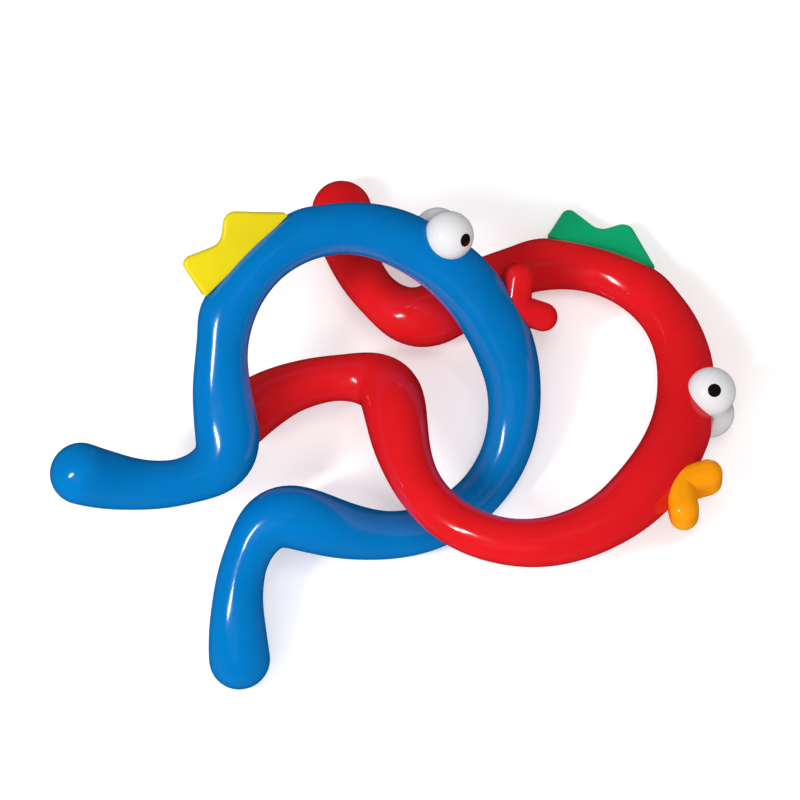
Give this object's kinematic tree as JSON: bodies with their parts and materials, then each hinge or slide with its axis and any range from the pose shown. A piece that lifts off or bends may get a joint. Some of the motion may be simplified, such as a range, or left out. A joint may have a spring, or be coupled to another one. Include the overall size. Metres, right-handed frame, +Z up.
{
  "type": "linked snake puzzle",
  "caption": "Linked plastic snakes, each an open ring of round tube with outturned legs, a saw-toothed crest, merged eyes and parted lips, to be twisted apart.",
  "frame": {"origin": "on the table under the middle of the object, with the two snakes lying linked as shown", "axes": "+Z up from the table, +X from the blue snake's feet towards the red snake's face, +Y away from a person sitting in front"},
  "size_m": [0.2158, 0.17, 0.0731],
  "materials": {
    "blue_plastic": "gloss",
    "red_plastic": "gloss",
    "yellow_plastic": "satin",
    "green_plastic": "satin",
    "orange_plastic": "gloss",
    "white_plastic": "gloss",
    "black_plastic": "gloss"
  },
  "bodies": {
    "blue_snake": {"blue_front_shell": "blue_plastic", "blue_back_shell": "blue_plastic", "blue_crest": "yellow_plastic", "blue_eyes": "white_plastic", "blue_near_pupil": "black_plastic", "blue_far_pupil": "black_plastic", "blue_lips": "red_plastic"},
    "red_snake": {"red_front_shell": "red_plastic", "red_back_shell": "red_plastic", "red_crest": "green_plastic", "red_eyes": "white_plastic", "red_near_pupil": "black_plastic", "red_far_pupil": "black_plastic", "red_lips": "orange_plastic"}
  },
  "joints": [
    {"name": "red_round_blue_ring", "type": "hinge", "parent": "blue_snake", "child": "red_snake", "pos_m": [-0.00734, 0.01043, 0.03531], "axis": [0.2818, -0.3432, 0.896], "range_deg": [-90, 30]}
  ]
}
